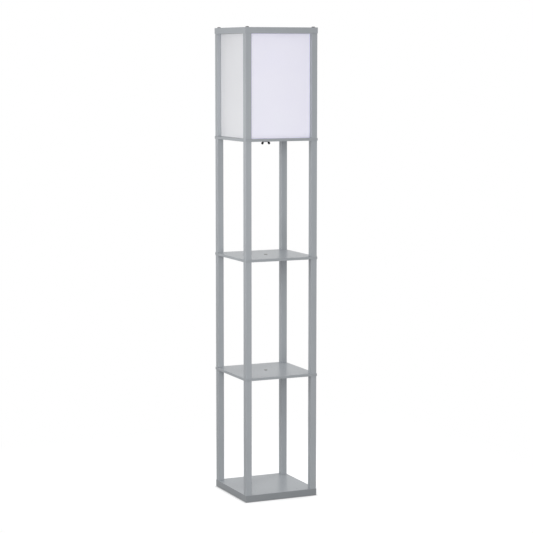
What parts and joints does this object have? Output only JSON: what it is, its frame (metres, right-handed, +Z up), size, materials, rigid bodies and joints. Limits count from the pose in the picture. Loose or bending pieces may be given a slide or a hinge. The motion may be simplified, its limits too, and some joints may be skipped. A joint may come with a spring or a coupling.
{
  "type": "shelf floor lamp",
  "caption": "Square floor lamp with open shelves between corner posts and a translucent panelled lamp box on top, open above the bulb.",
  "frame": {"origin": "centre of the footprint on the floor, at the underside of the felt pads", "axes": "+Z up along the posts, -Y towards the front, +X to the right seen from the front"},
  "size_m": [0.2656, 0.2656, 1.6],
  "materials": {
    "silver_lacquer": "satin silver-grey lacquer on fibreboard and wood",
    "opal_panel": "translucent opal sheet, fine matt face",
    "zinc_steel": "bright zinc plate",
    "dark_bolt": "dark nickel plate",
    "black_nut": "black moulded plastic, satin",
    "plug_plastic": "moulded grey plastic",
    "grey_felt": "pressed felt",
    "holder_plastic": "black phenolic moulding",
    "terminal_ceramic": "unglazed steatite",
    "contact_brass": "stamped brass",
    "bulb_cap_metal": "rolled nickel-plated shell",
    "insulator_black": "glossy insulator",
    "bulb_plastic": "white moulded housing",
    "light_board": "white-coated board with yellow light chips",
    "bulb_frosted": "frosted white globe"
  },
  "bodies": {
    "frame": {"back_panel": "opal_panel", "base_board": "silver_lacquer", "base_bolts": "dark_bolt", "cap_bolts": "dark_bolt", "centre_contact": "contact_brass", "floor_pads": "grey_felt", "foot_washer": "zinc_steel", "front_panel": "opal_panel", "holder_cap": "holder_plastic", "holder_shell": "holder_plastic", "lamp_post_back_left": "silver_lacquer", "lamp_post_back_right": "silver_lacquer", "lamp_post_front_left": "silver_lacquer", "lamp_post_front_right": "silver_lacquer", "lamp_post_inserts": "zinc_steel", "lamp_shelf": "silver_lacquer", "lamp_shelf_studs": "zinc_steel", "left_panel": "opal_panel", "lock_nut": "zinc_steel", "lower_post_back_left": "silver_lacquer", "lower_post_back_right": "silver_lacquer", "lower_post_front_left": "silver_lacquer", "lower_post_front_right": "silver_lacquer", "lower_post_inserts": "zinc_steel", "lower_shelf": "silver_lacquer", "lower_shelf_studs": "zinc_steel", "middle_post_back_left": "silver_lacquer", "middle_post_back_right": "silver_lacquer", "middle_post_front_left": "silver_lacquer", "middle_post_front_right": "silver_lacquer", "middle_post_inserts": "zinc_steel", "middle_shelf": "silver_lacquer", "middle_shelf_studs": "zinc_steel", "right_panel": "opal_panel", "screw_sleeve": "contact_brass", "shelf_plugs": "plug_plastic", "terminal_block": "terminal_ceramic", "terminal_screws": "contact_brass", "threaded_nipple": "zinc_steel", "top_rail_back": "silver_lacquer", "top_rail_front": "silver_lacquer", "top_rail_left": "silver_lacquer", "top_rail_right": "silver_lacquer", "upper_post_back_left": "silver_lacquer", "upper_post_back_right": "silver_lacquer", "upper_post_front_left": "silver_lacquer", "upper_post_front_right": "silver_lacquer", "upper_post_inserts": "zinc_steel", "wing_washer": "zinc_steel"},
    "bulb": {"bulb_globe": "bulb_frosted", "bulb_housing": "bulb_plastic", "bulb_insulator": "insulator_black", "bulb_light_board": "light_board", "bulb_screw_cap": "bulb_cap_metal", "bulb_tip_contact": "bulb_cap_metal"},
    "wing_nut": {"wing_nut": "black_nut"}
  },
  "joints": [
    {"name": "bulb_turn", "type": "hinge", "parent": "frame", "child": "bulb", "pos_m": [0, 0, 1.3], "axis": [0, 0, 1], "range_deg": [0, 900]},
    {"name": "wing_nut_turn", "type": "hinge", "parent": "frame", "child": "wing_nut", "pos_m": [0, 0, 1.215], "axis": [0, 0, -1], "range_deg": [0, 450]}
  ]
}
